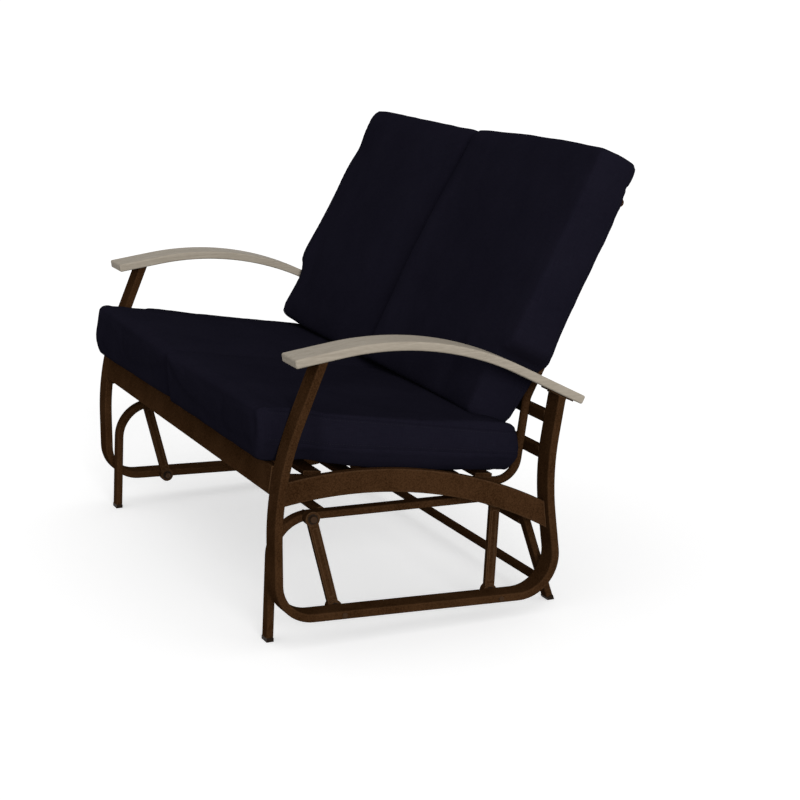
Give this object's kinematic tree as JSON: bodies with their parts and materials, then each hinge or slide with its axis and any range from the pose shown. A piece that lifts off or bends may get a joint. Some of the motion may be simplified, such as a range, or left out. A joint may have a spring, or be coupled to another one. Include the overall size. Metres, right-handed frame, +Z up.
{
  "type": "glider bench",
  "caption": "Two-seat patio glider bench: a swinging seat with armrests and loose cushions, hung by links on a fixed tubular base.",
  "frame": {"origin": "on the floor, under the middle of the overall width and depth", "axes": "+X across the bench to the sitter's left, -Y towards the front of the bench, +Z up from the floor"},
  "size_m": [1.28, 0.8771, 0.9767],
  "materials": {
    "frame_paint": "fine textured powder coat, dark brown",
    "arm_board": "matte taupe board, faint grain",
    "cushion_fabric": "woven outdoor fabric, very dark navy",
    "bush_plastic": "black moulded plastic",
    "bolt_metal": "bronze plated steel"
  },
  "bodies": {
    "base": {"base_front_cross_tube": "frame_paint", "base_rear_lower_cross_tube": "frame_paint", "base_rear_upper_cross_tube": "frame_paint", "base_side_tube_left": "frame_paint", "base_side_tube_right": "frame_paint", "foot_plugs": "bush_plastic", "upper_pivot_bolts": "bolt_metal", "upper_pivot_nuts": "bolt_metal"},
    "front_links": {"link_front_right": "frame_paint", "link_front_left": "frame_paint", "front_link_bushes": "bush_plastic"},
    "rear_links": {"link_rear_right": "frame_paint", "link_rear_left": "frame_paint", "rear_link_bushes": "bush_plastic"},
    "seat": {"arm_plates": "frame_paint", "arm_screws": "bolt_metal", "armrest_left": "arm_board", "armrest_right": "arm_board", "back_cushion_left": "cushion_fabric", "back_cushion_right": "cushion_fabric", "back_rail_lower": "frame_paint", "back_rail_upper": "frame_paint", "back_slat_1": "frame_paint", "back_slat_2": "frame_paint", "back_slat_3": "frame_paint", "back_slat_4": "frame_paint", "back_top_tube": "frame_paint", "front_rail": "frame_paint", "lower_pivot_bolts": "bolt_metal", "lower_pivot_nuts": "bolt_metal", "seat_back_tube_left": "frame_paint", "seat_back_tube_right": "frame_paint", "seat_cushion_left": "cushion_fabric", "seat_cushion_right": "cushion_fabric", "seat_slat_1": "frame_paint", "seat_slat_2": "frame_paint", "seat_slat_3": "frame_paint", "seat_slat_4": "frame_paint", "seat_slat_5": "frame_paint", "seat_slat_6": "frame_paint", "side_arch_left": "frame_paint", "side_arch_right": "frame_paint", "side_frame_left": "frame_paint", "side_frame_right": "frame_paint"}
  },
  "joints": [
    {"name": "glide", "type": "hinge", "parent": "base", "child": "front_links", "pos_m": [0, -0.31655, 0.26273], "axis": [1, 0, 0], "range_deg": [-10, 10]},
    {"name": "rear_link_swing", "type": "hinge", "parent": "base", "child": "rear_links", "pos_m": [0, 0.10845, 0.25305], "axis": [1, 0, 0], "range_deg": [-9.7, 9.7]},
    {"name": "seat_on_front_links", "type": "hinge", "parent": "front_links", "child": "seat", "pos_m": [0, -0.26855, 0.06338], "axis": [1, 0, 0], "range_deg": [-11.7, 11.7]}
  ],
  "couplings": [
    {"joint": "rear_link_swing", "follows": "glide", "ratio": 0.961},
    {"joint": "seat_on_front_links", "follows": "glide", "ratio": -1.1635}
  ]
}
